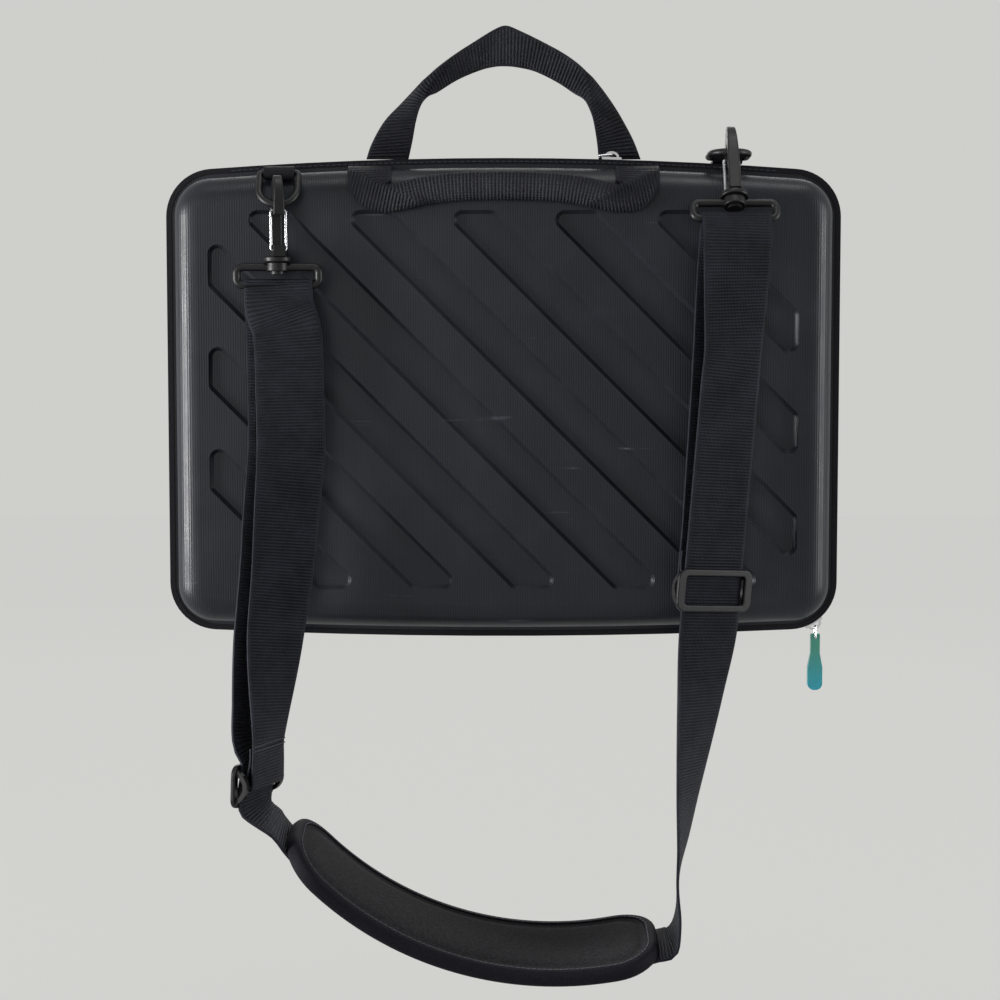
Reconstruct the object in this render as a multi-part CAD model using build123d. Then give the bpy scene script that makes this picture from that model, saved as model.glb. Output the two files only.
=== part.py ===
from build123d import *
import math
import os

# Hard-shell laptop case: two moulded half shells joined by a zip and a fabric spine, two webbing
# carry handles and a clip-on shoulder strap. It hangs by its rear handle.
# Millimetres. Origin: the point where the rear handle rests on its peg. +X right, +Z up,
# the front of the case faces -Y, and Y = 0 is the zip's parting plane.

os.makedirs("parts", exist_ok=True)

# ---------------------------------------------------------------- case outline
CASE_W = 380.0
CASE_TOP = -51.5
CASE_H = 270.5
CORNER_R = 27.0
TOP_ARC_R = 2250.0
BOTTOM_ARC_R = 3600.0

# ---------------------------------------------------------------- half shells
ZIP_HALF = 3.4
SHELL_DEPTH = 24.0
SHELL_WALL = 5.0
FLANGE_W = 5.5
FLANGE_T = 2.2
FLANGE_EDGE = 0.6
FACE_R = 14.0
LINING_T = 0.8

# ---------------------------------------------------------------- pressed diagonal panels
PANEL_PITCH = 56.6
PANEL_W = 30.5
PANEL_SIDE_MARGIN = 26.0
PANEL_TOP_MARGIN = 30.5
PANEL_BOTTOM_MARGIN = 29.0
PANEL_DEPTH = 2.6
PANEL_SLOPE = 38.0
PANEL_CORNER_R = 5.5

# ---------------------------------------------------------------- zip, binding and spine
TAPE_T = 1.0
TAPE_INSET = 1.2
COIL_INSET = 0.4
COIL_W = 2.2
COIL_H = 1.35
COIL_GAP = 0.25
ZIP_END_X = 158.0
BINDING_LIP = 3.0
BINDING_T = 0.8
SPINE_T = 1.2
SPINE_W = 300.0

# ---------------------------------------------------------------- zip sliders and pulls
SLIDER_L = 11.0
SLIDER_W = 5.2
SLIDER_PLATE = 1.4
SLIDER_RAIL = 0.7
SLIDER_CLEAR = 0.3
CROWN_L = 8.4
CROWN_W = 2.6
CROWN_H = 3.4
CROWN_BAR = 1.3
TOP_SLIDER_X = 61.0
CORNER_SLIDER_ANGLE = -58.0
LINK_WIRE = 1.3
LINK_L = 7.0
LINK_W = 5.4
PULL_L = 32.5
PULL_W = 8.4
PULL_NECK_W = 5.2
PULL_T = 3.4
PULL_EYE_DROP = 2.3
PIN_CLEAR = 0.06

# ---------------------------------------------------------------- carry handles
HANDLE_W = 24.0
HANDLE_T = 2.0
REAR_HANDLE_X = 66.0
REAR_KINK = (-44.5, -14.5)
REAR_APEX_HALF = 5.0
FRONT_HANDLE_X = 74.6
FRONT_HANDLE_DROP = 25.0
GRIP_H = 14.5
GRIP_T = 7.0
GRIP_RISE = 7.0
GRIP_BLEND = 14.0
SOFT_CLEAR = 0.3
ANCHOR_T = 0.8

# ---------------------------------------------------------------- D-rings and their tabs
RING_WIRE = 4.0
RING_HALF = 10.5
RING_H = 21.6
TAB_W = 16.8
TAB_T = 1.6
LEFT_X = -124.0
RIGHT_X = 126.0
LEFT_RING_SWING = -33.2
LEFT_BAR_ANGLE = 134.2
RIGHT_RING_SWING = -92.6
RIGHT_BAR_Y = -2.8

# ---------------------------------------------------------------- snap hooks
EYE_HALF = 4.2
HOOK_SPINE = 4.0
HOOK_THICK = 6.4
HOOK_TIP_THICK = 4.6
EYE_TOP = 31.3
HOOK_TOP = 44.3
NOSE_END = 22.4
HOOK_BASE = 6.0
RING_SEAT = 28.4
COLLAR_R = 7.8
COLLAR_H = 3.0
SWIVEL_R = 2.6
SWIVEL_HEAD_R = 3.8
SWIVEL_HEAD_T = 1.4
BOSS_R = 6.0
BOSS_H = 5.0
GATE_WIRE = 1.5
GATE_HALF = 4.1
GATE_TOP = 24.8
GATE_FOOT = 3.4
RIGHT_LEAN = -29.5
LEFT_TURN = 14.0

# ---------------------------------------------------------------- strap bails
BAIL_W = 45.2
BAIL_WIRE = 4.4
BAIL_TOP = 5.6
BAIL_DROP = 15.5
BAIL_CORNER = 3.6
BAIL_CLEAR = 0.06

# ---------------------------------------------------------------- strap webbing
STRAP_W = 38.0
STRAP_T = 1.6
WRAP_DROP = 3.0
BUTT = 0.05
TOP_SHIFT = 0.4
# x, y, z of the front layer's middle and its turn about the vertical, from the bail to the pad
LEFT_ROUTE = (
    (-118.5, -42.0, -150.0, 4.0),
    (-117.0, -44.5, -187.0, 9.0),
    (-116.5, -46.5, -215.0, 14.0),
    (-118.6, -49.0, -247.0, 24.0),
    (-121.0, -51.5, -281.0, 32.0),
    (-125.0, -54.0, -317.0, 42.0),
    (-127.6, -56.4, -350.0, 53.0),
    (-129.4, -57.8, -371.0, 62.0),
)
LEFT_GLIDE = (-128.4, -58.5, -395.0, 70.0)
LEFT_GLIDE_RUN = (-0.03, -0.02, -1.0)
GLIDE_STRAIGHT = 13.5
RIGHT_RUN_TOP = (125.4, -47.6, -156.0, 28.0)
RIGHT_RUN_END = (112.6, -46.4, -316.0, 28.0)
RIGHT_GLIDE_AT = 135.5
RIGHT_ROUTE = (
    (108.8, -44.0, -352.0, 44.0),
    (102.6, -44.5, -405.0, 66.0),
    (99.9, -45.0, -431.0, 76.0),
    (97.0, -46.0, -453.0, 84.0),
    (97.3, -46.8, -474.0, 88.0),
)
SEWN_TAIL = 24.0
LEFT_SHIFT = -4.0
RIGHT_SHIFT = -3.0

# ---------------------------------------------------------------- tri-glides
GLIDE_H = 23.5
GLIDE_SIDE = 5.0
GLIDE_BAR = 3.7
GLIDE_CORNER = 5.5
GLIDE_EDGE = 0.7
GLIDE_CHEEK = 3.4
GLIDE_BAR_T = 2.4
GLIDE_MID_R = 1.6
GLIDE_CLEAR = 0.4

# ---------------------------------------------------------------- shoulder pad
PAD_W = 64.0
PAD_T = 8.0
PAD_R = 183.0
PAD_TILT = 10.2
PAD_CENTRE = (28.0, -77.3, -319.2)
PAD_FROM = -53.5
PAD_TO = 18.5
PAD_WEB_FROM = -56.5
PAD_WEB_TO = 21.0
PAD_END_R = 24.0
PAD_COVER_T = 1.2
PAD_BINDING_W = 4.0
PAD_BINDING_T = 0.6
PAD_EDGE_T = 1.2
KEEPER_L = 26.0
KEEPER_T = 1.2
KEEPER_W = 50.0
KEEPER_INSET = 16.0

# ---------------------------------------------------------------- inside fittings
ELASTIC_W = 22.0
ELASTIC_T = 1.4
ELASTIC_REACH = 62.0
SEAM_INSET = 3.0
POCKET_H = 165.0
POCKET_T = 1.0
POCKET_LIFT = 2.4
HEM_W = 9.0
HEM_T = 1.8

CASE_BOTTOM = CASE_TOP - CASE_H
FRONT = Plane.XZ


# ---------------------------------------------------------------- helpers
def save(name, shape):
    """Write one piece of the case to its own file."""
    shape.label = name
    export_step(shape, f"parts/{name}.step")


def top_z(x, inset=0.0):
    """Height of the bowed top edge at x."""
    return CASE_TOP - TOP_ARC_R + math.sqrt((TOP_ARC_R - inset) ** 2 - x ** 2)


def bottom_z(x, inset=0.0):
    """Height of the bowed bottom edge at x."""
    return CASE_BOTTOM + BOTTOM_ARC_R - math.sqrt((BOTTOM_ARC_R - inset) ** 2 - x ** 2)


def case_outline(inset):
    """Case outline seen from the front, moved inwards by inset."""
    half = CASE_W / 2 - inset
    top_end = (half, top_z(half, inset))
    low_end = (half, bottom_z(half, inset))
    edges = [
        ThreePointArc((-half, top_end[1]), (0, top_z(0, inset)), top_end),
        Line(top_end, low_end),
        ThreePointArc(low_end, (0, bottom_z(0, inset)), (-half, low_end[1])),
        Line((-half, low_end[1]), (-half, top_end[1])),
    ]
    face = make_face(edges)
    return fillet(face.vertices(), CORNER_R - inset)


def slab(inset, near, far):
    """Outline between two distances in front of the parting plane."""
    return extrude(FRONT.offset(near) * case_outline(inset), amount=far - near)


def ring(inset, inner_inset, near, far):
    """Band that follows the outline."""
    return slab(inset, near, far) - slab(inner_inset, near - 1, far + 1)


def pan(inset, near, far, radius):
    """Outline with its front edge rounded."""
    block = slab(inset, near, far)
    front_face = block.faces().sort_by(Axis.Y)[0]
    return fillet(front_face.edges(), radius)


def to_rear(shape):
    """Mirror a front piece to the rear half."""
    return mirror(shape, about=Plane.XZ)


# ---------------------------------------------------------------- half shells
FACE_AT = ZIP_HALF + SHELL_DEPTH
INNER_FACE_AT = FACE_AT - SHELL_WALL
OUTER_INSET = FLANGE_W + FLANGE_EDGE
INNER_INSET = OUTER_INSET + SHELL_WALL
INNER_R = FACE_R - SHELL_WALL
FLANGE_FACE = ZIP_HALF + FLANGE_T


def corner_room(outline):
    """Largest radius that every two neighbouring corners of a straight-edged outline can share."""
    edges = outline.face().outer_wire().order_edges()
    following = edges[1:] + edges[:1]
    shares = [math.tan(math.radians((a % 1).get_angle(b % 0)) / 2) for a, b in zip(edges, following)]
    rooms = [b.length / (s + t) for b, s, t in zip(following, shares, shares[1:] + shares[:1])]
    return 0.98 * min(rooms)


def panel_outlines():
    """Slanted panels, cut off square at the edge of their field."""
    left = -CASE_W / 2 + PANEL_SIDE_MARGIN
    right = -left
    high = CASE_TOP - PANEL_TOP_MARGIN
    low = CASE_BOTTOM + PANEL_BOTTOM_MARGIN
    field = make_face(Polyline((left, low), (right, low), (right, high), (left, high), close=True))
    mid = (high + low) / 2
    reach = (right - left) + (high - low)
    count = int(reach / 2 / PANEL_PITCH)
    panels = []
    for k in range(-count - 1, count + 1):
        c = (k + 0.5) * PANEL_PITCH
        a = c - PANEL_W / 2
        b = c + PANEL_W / 2
        strip = make_face(Polyline((a - reach, mid + reach), (b - reach, mid + reach),
                                   (b + reach, mid - reach), (a + reach, mid - reach), close=True))
        piece = strip & field
        if piece and piece.area > PANEL_W ** 2:
            panels.append(fillet(piece.vertices(), min(PANEL_CORNER_R, corner_room(piece))))
    return panels


def half_shell():
    """Moulded shell with its sewing flange and pressed panels."""
    body = pan(OUTER_INSET, ZIP_HALF, FACE_AT, FACE_R)
    body += slab(FLANGE_EDGE, ZIP_HALF, FLANGE_FACE)
    body -= pan(INNER_INSET, ZIP_HALF - 1, INNER_FACE_AT, INNER_R)
    for panel in panel_outlines():
        body -= extrude(FRONT.offset(FACE_AT) * panel, amount=-PANEL_DEPTH, taper=PANEL_SLOPE)
    return body


def lining():
    """Cloth lining that backs the shell."""
    outer = pan(INNER_INSET, ZIP_HALF, INNER_FACE_AT, INNER_R)
    inner = pan(INNER_INSET + LINING_T, ZIP_HALF - 1, INNER_FACE_AT - LINING_T, INNER_R - LINING_T)
    return outer - inner


def zip_zone():
    """Block over the stretch that the zip covers: all but the spine."""
    spine_end = Box(2 * ZIP_END_X, 60, 40)
    return spine_end.moved(Location((0, 0, CASE_BOTTOM - 14)))


def zip_tape():
    """Zip tape on edge between the flange and the coil."""
    return ring(TAPE_INSET, TAPE_INSET + TAPE_T, COIL_GAP + COIL_H, ZIP_HALF) - zip_zone()


def zip_coil():
    """One side of the zip's coil."""
    return ring(COIL_INSET, COIL_INSET + COIL_W, COIL_GAP, COIL_GAP + COIL_H) - zip_zone()


def binding():
    """Binding folded over the flange's edge."""
    edge = ring(0, FLANGE_EDGE, ZIP_HALF, FLANGE_FACE)
    lip = ring(0, BINDING_LIP, FLANGE_FACE, FLANGE_FACE + BINDING_T)
    return edge + lip


def spine():
    """Cloth hinge along the bottom edge, sewn to both flanges inside the case."""
    start = TAPE_INSET
    strip = ring(start, start + SPINE_T, -ZIP_HALF, ZIP_HALF)
    cut = Box(SPINE_W, 60, 40).moved(Location((0, 0, CASE_BOTTOM - 14)))
    return strip & cut


shell = half_shell()
save("front_shell", shell)
save("rear_shell", to_rear(shell))
cloth = lining()
save("front_lining", cloth)
save("rear_lining", to_rear(cloth))
tape = zip_tape()
save("front_zip_tape", tape)
save("rear_zip_tape", to_rear(tape))
coil = zip_coil()
save("front_zip_coil", coil)
save("rear_zip_coil", to_rear(coil))
edge_binding = binding()
save("front_binding", edge_binding)
save("rear_binding", to_rear(edge_binding))
save("spine_tape", spine())


# ---------------------------------------------------------------- zip sliders
def slider_body():
    """Slider on a straight zip along X, with the case's edge at Z = 0."""
    plate_z = SLIDER_CLEAR + SLIDER_PLATE / 2
    body = Box(SLIDER_L, SLIDER_W, SLIDER_PLATE).moved(Location((0, 0, plate_z)))
    rail_y = SLIDER_W / 2 - SLIDER_RAIL / 2
    for side in (-1, 1):
        rail = Box(SLIDER_L, SLIDER_RAIL, 2 * SLIDER_CLEAR)
        body += rail.moved(Location((0, side * rail_y, SLIDER_CLEAR)))
    crown_z = SLIDER_CLEAR + SLIDER_PLATE
    arch = Plane.XZ * (Pos(0, crown_z) * Ellipse(CROWN_L / 2, CROWN_H))
    hollow = Plane.XZ * (Pos(0, crown_z) * Ellipse(CROWN_L / 2 - CROWN_BAR, CROWN_H - CROWN_BAR))
    crown = extrude(arch - hollow, amount=CROWN_W / 2, both=True)
    crown -= Box(3 * CROWN_L, 3 * CROWN_W, 20).moved(Location((0, 0, crown_z - 10 - 0.2)))
    return body + crown


EYE_UP = SLIDER_CLEAR + SLIDER_PLATE + CROWN_H - CROWN_BAR - LINK_WIRE / 2 - PIN_CLEAR
CORNER_X = CASE_W / 2 - CORNER_R
CORNER_Z = bottom_z(CORNER_X, CORNER_R)


def link_loop():
    """Wire loop in the YZ plane, hanging from an eye at the origin."""
    half = LINK_W / 2
    path = FilletPolyline((0, half, 0), (0, half, -LINK_L), (0, -half, -LINK_L), (0, -half, 0),
                          radius=LINK_WIRE * 0.7, close=True)
    section = Plane(origin=(0, half, -LINK_L / 2), z_dir=(0, 0, -1)) * Circle(LINK_WIRE / 2)
    return sweep(section, path=path)


def pull_tab():
    """Soft zip pull that hangs from the loop at the origin."""
    top = PULL_EYE_DROP
    low = top - PULL_L
    neck = PULL_NECK_W / 2
    wide = PULL_W / 2
    edge = Polyline((-neck, top), (neck, top), (neck, top - PULL_L * 0.34),
                    (wide, top - PULL_L * 0.6), (wide, low), (-wide, low),
                    (-wide, top - PULL_L * 0.6), (-neck, top - PULL_L * 0.34), close=True)
    face = make_face(edge)
    low_corners = face.vertices().sort_by(Axis.Y)[0:2]
    face = fillet(low_corners, wide * 0.9)
    body = extrude(Plane.XZ * face, amount=PULL_T / 2, both=True)
    eye = Cylinder(LINK_WIRE / 2 + PIN_CLEAR, 2 * PULL_T, rotation=(90, 0, 0))
    return body - eye


slider = slider_body()
top_tilt = math.degrees(math.asin(TOP_SLIDER_X / TOP_ARC_R))
top_at = Location((TOP_SLIDER_X, 0, top_z(TOP_SLIDER_X)), (0, top_tilt, 0))
save("top_slider", slider.moved(top_at))
corner_out = math.radians(CORNER_SLIDER_ANGLE)
corner_at = Location((CORNER_X + CORNER_R * math.cos(corner_out), 0,
                      CORNER_Z + CORNER_R * math.sin(corner_out)), (0, 90 - CORNER_SLIDER_ANGLE, 0))
save("corner_slider", slider.moved(corner_at))

link = link_loop()
top_eye = top_at * Location((0, 0, EYE_UP))
plate_top = SLIDER_CLEAR + SLIDER_PLATE
lie_down = math.degrees(math.atan2(SLIDER_L / 2, EYE_UP - plate_top - LINK_WIRE / 2 - 0.1))
save("top_link", link.moved(top_eye * Location((0, 0, 0), (0, lie_down, 0))))
corner_eye = (corner_at * Location((0, 0, EYE_UP))).position
save("corner_link", link.moved(Location(corner_eye)))
save("corner_pull", pull_tab().moved(Location(corner_eye - Vector(0, 0, LINK_L))))


# ---------------------------------------------------------------- carry handles
FOOT_NEAR = FLANGE_FACE + BINDING_T + 0.1
FOOT_MID = FOOT_NEAR + ANCHOR_T / 2
HANDLE_IN = REAR_HANDLE_X - HANDLE_W / 2
REAR_AXIS_Z = top_z(HANDLE_IN) + SOFT_CLEAR + HANDLE_T / 2


def rear_handle():
    """Webbing arch, flat and kinked where it is pulled up to the peg, leaning to the rear seam."""
    foot_out = REAR_HANDLE_X + HANDLE_W / 2
    length = math.hypot(REAR_AXIS_Z, FOOT_MID)
    kink_x, kink_z = REAR_KINK
    half = [
        (foot_out, -length), (foot_out - 5, -length + 15), (-kink_x + 4, kink_z + 3),
        (-kink_x - 8, kink_z + 15.5), (REAR_APEX_HALF, HANDLE_W - 2),
    ]
    inner = [
        (REAR_APEX_HALF, 0), (REAR_APEX_HALF + 9, -1.4), (-kink_x - 3, kink_z - 2), (HANDLE_IN, -length),
    ]
    outline = half + [(-x, z) for x, z in reversed(half)]
    outline += [(-x, z) for x, z in reversed(inner)] + inner
    flat = extrude(FRONT * make_face(Polyline(*outline, close=True)), amount=HANDLE_T / 2, both=True)
    for side in (-1, 1):
        end = Cylinder(HANDLE_T / 2, HANDLE_W, rotation=(0, 90, 0))
        flat += end.moved(Location((side * REAR_HANDLE_X, 0, -length)))
    return flat.rotate(Axis.X, math.degrees(math.atan2(FOOT_MID, -REAR_AXIS_Z)))


def handle_foot(x, foot_top):
    """Handle end sewn down the back of the flange, standing on the shell's top wall."""
    wall_z = top_z(abs(x) - HANDLE_W / 2, OUTER_INSET) + 0.1
    strip = Box(HANDLE_W, ANCHOR_T, foot_top - wall_z, align=(Align.CENTER, Align.MAX, Align.MIN))
    return strip.moved(Location((x, -FOOT_NEAR, wall_z)))


FRONT_WALL = top_z(FRONT_HANDLE_X - HANDLE_W / 2, OUTER_INSET)
FRONT_AXIS_Y = -(FOOT_NEAR + ANCHOR_T + PIN_CLEAR + HANDLE_T / 2)
FRONT_AXIS_Z = FRONT_WALL + SOFT_CLEAR + HANDLE_T / 2


def front_handle():
    """Folded webbing grip that droops over the front shell, with its flat ends."""
    centre_y = -(FACE_AT - FACE_R)
    centre_z = FRONT_WALL - FACE_R
    near = FACE_R + SOFT_CLEAR
    far = near + HANDLE_T
    reach = FRONT_AXIS_Y - centre_y
    drop = FACE_R - FRONT_HANDLE_DROP
    bend = (Circle(far) - Circle(near)) & (Pos(-far, far) * Rectangle(2 * far, 2 * far))
    over = Pos(reach / 2, (near + far) / 2) * Rectangle(reach, HANDLE_T)
    down = Pos(-(near + far) / 2, drop / 2) * Rectangle(HANDLE_T, -drop)
    roll = Pos(reach, (near + far) / 2) * Circle(HANDLE_T / 2)
    side = Plane.YZ * (Pos(centre_y, centre_z) * (bend + over + down + roll))
    end = extrude(side, amount=HANDLE_W / 2, both=True)
    body = end.moved(Location((FRONT_HANDLE_X, 0, 0))) + end.moved(Location((-FRONT_HANDLE_X, 0, 0)))
    grip_y = centre_y - near - GRIP_T / 2
    low = centre_z + drop + GRIP_H / 2
    blend_x = FRONT_HANDLE_X - HANDLE_W / 2 - GRIP_BLEND
    path = FilletPolyline((-FRONT_HANDLE_X, grip_y, low), (-blend_x, grip_y, low + GRIP_RISE),
                          (blend_x, grip_y, low + GRIP_RISE), (FRONT_HANDLE_X, grip_y, low), radius=60)
    start = Plane(origin=path @ 0, x_dir=(0, 1, 0), z_dir=path % 0)
    return body + sweep(start * RectangleRounded(GRIP_T, GRIP_H, GRIP_T * 0.45), path=path)


save("rear_handle", rear_handle())
save("front_handle", front_handle())
for name, side in (("left", -1), ("right", 1)):
    rear_top = REAR_AXIS_Z - HANDLE_T / 2 - PIN_CLEAR
    save(f"rear_handle_foot_{name}", to_rear(handle_foot(side * REAR_HANDLE_X, rear_top)))
    front_top = FRONT_AXIS_Z + HANDLE_T / 2
    save(f"front_handle_foot_{name}", handle_foot(side * FRONT_HANDLE_X, front_top))


# ---------------------------------------------------------------- D-rings and their tabs
LOOP_IN = RING_WIRE / 2 + PIN_CLEAR
LOOP_OUT = LOOP_IN + TAB_T
TAB_GAP = 0.15
ROUND_Y = FACE_AT - FACE_R


def d_ring(x, bar_y, bar_z, swing):
    """Wire D-ring whose straight bar is at (bar_y, bar_z) and whose bow swings out from straight down."""
    angle = math.radians(swing)
    away = Vector(0, math.sin(angle), -math.cos(angle))
    flat = Plane(origin=(x, bar_y, bar_z), x_dir=(1, 0, 0), z_dir=Vector(1, 0, 0).cross(away))
    side = RING_H - RING_HALF
    path = FilletPolyline((-RING_HALF, side), (-RING_HALF, 0), (RING_HALF, 0), (RING_HALF, side), radius=2.05)
    bow = ThreePointArc((RING_HALF, side), (0, RING_H), (-RING_HALF, side))
    whole = flat * Wire(path.edges() + bow.edges())
    section = Plane(origin=whole @ 0, z_dir=whole % 0) * Circle(RING_WIRE / 2)
    return sweep(section, path=whole)


def loop_profile(y, z):
    return Pos(y, z) * (Circle(LOOP_OUT) - Circle(LOOP_IN))


def tab(x, profile):
    return extrude(Plane.YZ * profile, amount=TAB_W / 2, both=True).moved(Location((x, 0, 0)))


left_wall = top_z(abs(LEFT_X) - TAB_W / 2, OUTER_INSET)
left_centre = (-ROUND_Y, left_wall - FACE_R)
reach = FACE_R + TAB_GAP + LOOP_OUT
bar_angle = math.radians(LEFT_BAR_ANGLE)
left_bar = (left_centre[0] + reach * math.cos(bar_angle), left_centre[1] + reach * math.sin(bar_angle))
save("left_ring", d_ring(LEFT_X, *left_bar, LEFT_RING_SWING))
left_arc = Circle(FACE_R + TAB_GAP + TAB_T) - Circle(FACE_R + TAB_GAP)
wedge = make_face(Polyline((0, 0), (60 * math.cos(bar_angle), 60 * math.sin(bar_angle)), (0, 60), close=True))
lead = ROUND_Y - FOOT_NEAR
left_lead = Pos(lead / 2, FACE_R + TAB_GAP + TAB_T / 2) * Rectangle(lead, TAB_T)
left_profile = Pos(*left_centre) * ((left_arc & wedge) + left_lead) + loop_profile(*left_bar)
save("left_ring_tab", tab(LEFT_X, left_profile - Pos(*left_bar) * Circle(LOOP_IN)))

right_over = top_z(RIGHT_X - TAB_W / 2) + TAB_GAP
right_bar = (RIGHT_BAR_Y, right_over + LOOP_OUT)
save("right_ring", d_ring(RIGHT_X, *right_bar, RIGHT_RING_SWING))
right_wall = top_z(RIGHT_X - TAB_W / 2, OUTER_INSET) + 0.1
seam_far = FOOT_NEAR + TAB_T
run = seam_far - RIGHT_BAR_Y
right_lead = Pos(RIGHT_BAR_Y + run / 2, right_over + TAB_T / 2) * Rectangle(run, TAB_T)
right_drop = right_over + TAB_T - right_wall
right_down = Pos(FOOT_NEAR + TAB_T / 2, right_wall + right_drop / 2) * Rectangle(TAB_T, right_drop)
right_profile = right_lead + right_down + loop_profile(*right_bar)
save("right_ring_tab", tab(RIGHT_X, right_profile - Pos(*right_bar) * Circle(LOOP_IN)))


def ring_seat(x, bar, swing):
    """Middle of the ring's bow, where a snap hook hangs."""
    angle = math.radians(swing)
    return Vector(x, bar[0] + RING_H * math.sin(angle), bar[1] - RING_H * math.cos(angle))


# ---------------------------------------------------------------- snap hooks
GATE_U = HOOK_THICK / 2 + 1.6


def snap_hook():
    """Hook with its swivel collar and pin: X is its thickness, -Y its open side, Z = 0 the collar's top."""
    outer = EYE_HALF + HOOK_SPINE
    head_z = NOSE_END + 4.4
    crown = (Pos(0, head_z) * Ellipse(outer, HOOK_TOP - head_z)) & (Pos(0, head_z + 20) * Rectangle(40, 40))
    shank = Pos(0, head_z / 2) * Rectangle(2 * outer, head_z)
    eye = Pos(0, EYE_TOP - EYE_HALF) * Circle(EYE_HALF)
    slot_h = EYE_TOP - EYE_HALF - HOOK_BASE
    slot = Pos(0, HOOK_BASE + slot_h / 2) * Rectangle(2 * EYE_HALF, slot_h)
    mouth = Pos(-outer, (HOOK_BASE + NOSE_END) / 2) * Rectangle(2 * outer - 0.02, NOSE_END - HOOK_BASE)
    profile = crown + shank - eye - slot - mouth
    body = extrude(Plane.YZ * profile, amount=HOOK_THICK / 2, both=True)
    half = HOOK_THICK / 2
    tip = HOOK_TIP_THICK / 2
    front = make_face(Polyline((-half, -1), (half, -1), (half, NOSE_END), (tip, HOOK_TOP),
                               (-tip, HOOK_TOP), (-half, NOSE_END), close=True))
    body &= extrude(Plane.XZ * front, amount=2 * outer, both=True)
    body = fillet([e for e in body.edges() if e.length > 3.5 and e.center().Z > HOOK_BASE + 1], 0.9)
    bore = Cylinder(GATE_WIRE / 2 + PIN_CLEAR, 20, rotation=(0, 90, 0))
    body -= bore.moved(Location((0, -GATE_U, GATE_FOOT)))
    collar = Cylinder(COLLAR_R, COLLAR_H, align=(Align.CENTER, Align.CENTER, Align.MAX))
    collar = fillet(collar.edges(), 0.8)
    pin_l = COLLAR_H + PIN_CLEAR + BOSS_H + PIN_CLEAR + SWIVEL_HEAD_T
    pin = Cylinder(SWIVEL_R, pin_l, align=(Align.CENTER, Align.CENTER, Align.MAX))
    head = Cylinder(SWIVEL_HEAD_R, SWIVEL_HEAD_T, align=(Align.CENTER, Align.CENTER, Align.MIN))
    return body + collar + pin + head.moved(Location((0, 0, -pin_l)))


def hook_gate():
    """Sprung wire gate: a closed loop hinged through the hook's base, its top bar behind the nose."""
    top_u = EYE_HALF - GATE_WIRE / 2 - PIN_CLEAR
    path = FilletPolyline((GATE_HALF, -GATE_U, GATE_FOOT), (GATE_HALF, -top_u, GATE_TOP),
                          (-GATE_HALF, -top_u, GATE_TOP), (-GATE_HALF, -GATE_U, GATE_FOOT),
                          radius=GATE_WIRE * 0.55, close=True)
    start = Plane(origin=path @ 0.1, z_dir=path % 0.1)
    return sweep(start * Circle(GATE_WIRE / 2), path=path)


def bail():
    """Wire loop with the swivel's boss, in the hook's own frame."""
    half = BAIL_W / 2
    path = FilletPolyline((-half, 0, -BAIL_TOP), (half, 0, -BAIL_TOP), (half, 0, -BAIL_DROP),
                          (-half, 0, -BAIL_DROP), radius=BAIL_CORNER, close=True)
    loop = sweep(Plane(origin=(0, 0, -BAIL_DROP), z_dir=(1, 0, 0)) * Circle(BAIL_WIRE / 2), path=path)
    boss = Cylinder(BOSS_R, BOSS_H, align=(Align.CENTER, Align.CENTER, Align.MAX))
    boss = fillet(boss.edges(), 0.7).moved(Location((0, 0, -COLLAR_H - PIN_CLEAR)))
    return loop + boss - Cylinder(SWIVEL_R + PIN_CLEAR, 60)


left_seat = ring_seat(LEFT_X, left_bar, LEFT_RING_SWING)
right_seat = ring_seat(RIGHT_X, right_bar, RIGHT_RING_SWING)
left_frame = Location(left_seat) * Location((0, 0, -RING_SEAT))
right_frame = Location(right_seat, (RIGHT_LEAN, 0, 0)) * Location((0, 0, -RING_SEAT), (0, 0, 180))
left_hook_frame = left_frame * Location((0, 0, 0), (0, 0, LEFT_TURN))
hook = snap_hook()
gate = hook_gate()
save("left_hook", hook.moved(left_hook_frame))
save("left_gate", gate.moved(left_hook_frame))
save("left_bail", bail().moved(left_frame))
save("right_hook", hook.moved(right_frame))
save("right_gate", gate.moved(right_frame))
save("right_bail", bail().moved(right_frame))


# ---------------------------------------------------------------- strap webbing
STRAP_IN = BAIL_WIRE / 2 + BAIL_CLEAR
STRAP_MID = STRAP_IN + STRAP_T / 2
# how far behind the strap a glide's middle bar and the webbing sewn round it stand
LOOP_BACK = STRAP_T / 2 + 0.15 + STRAP_T + BAIL_CLEAR + GLIDE_MID_R
GLIDE_FRONT = STRAP_T / 2 + GLIDE_CLEAR + GLIDE_BAR_T / 2
END_IN = GLIDE_MID_R + BAIL_CLEAR
END_MID = END_IN + STRAP_T / 2
LAYER_BACK = LOOP_BACK + END_MID
PAD_DOWN = Vector(0, math.sin(math.radians(PAD_TILT)), -math.cos(math.radians(PAD_TILT)))
PAD_ACROSS = Vector(0, math.cos(math.radians(PAD_TILT)), math.sin(math.radians(PAD_TILT)))


def station(x, y, z, turn):
    """Point on the webbing and the direction of its width."""
    angle = math.radians(turn)
    return (Vector(x, y, z), Vector(math.cos(angle), math.sin(angle), 0))


def pad_point(angle, radius):
    """Point on the pad's arc, its angle counted from the lowest point towards +X."""
    a = math.radians(angle)
    return Vector(*PAD_CENTRE) + Vector(1, 0, 0) * (radius * math.sin(a)) + PAD_DOWN * (radius * math.cos(a))


def ribbon(stations):
    """Webbing through the stations, square to its run, which some of them give as well."""
    sections = []
    for i, (point, width, *given) in enumerate(stations):
        run = given[0] if given else stations[i + 1][0] - stations[i - 1][0]
        run = run.normalized()
        across = (width - run * run.dot(width)).normalized()
        sections.append(Plane(origin=point, x_dir=across, z_dir=run) * Rectangle(STRAP_W, STRAP_T))
    return loft(sections, ruled=True)


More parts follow.
